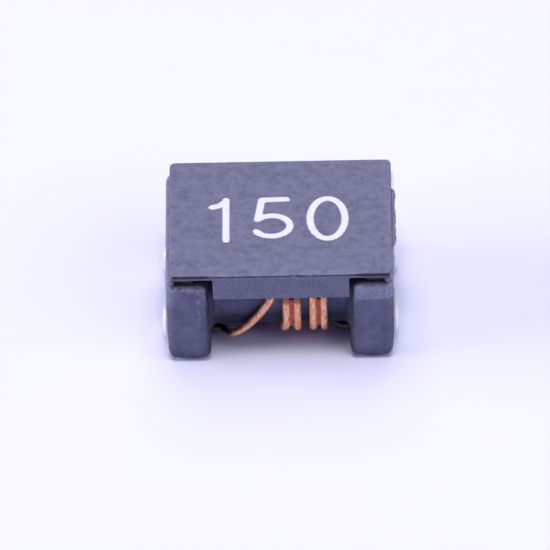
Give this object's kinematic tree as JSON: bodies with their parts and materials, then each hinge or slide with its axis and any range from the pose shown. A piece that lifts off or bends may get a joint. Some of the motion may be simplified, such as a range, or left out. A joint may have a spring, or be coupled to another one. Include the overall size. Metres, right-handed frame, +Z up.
{
  "type": "shielded surface-mount inductor",
  "caption": "Shielded surface-mount inductor: ferrite drum core with glued cover plate, tinned end terminals with solder joints, and paired enamelled copper windings round its bar",
  "frame": {"origin": "centre of the underside, on the board's surface", "axes": "+X along the core from flange to flange, to the right seen from the front; -Y towards the front; +Z up from the board"},
  "size_m": [0.0094, 0.007, 0.0044],
  "materials": {
    "core_ferrite": "matte",
    "plate_ferrite": "matte",
    "adhesive": "gloss",
    "tin_plating": "satin",
    "solder": "polished",
    "enamelled_copper": "gloss",
    "marking_ink": "matte"
  },
  "bodies": {
    "root": {"drum_core": "core_ferrite", "cover_plate": "plate_ferrite", "plate_adhesive_left": "adhesive", "plate_adhesive_right": "adhesive", "terminal_front_left": "tin_plating", "terminal_front_right": "tin_plating", "terminal_rear_left": "tin_plating", "terminal_rear_right": "tin_plating", "solder_front_left": "solder", "solder_front_right": "solder", "solder_rear_left": "solder", "solder_rear_right": "solder", "winding_a": "enamelled_copper", "winding_b": "enamelled_copper"}
  },
  "joints": []
}
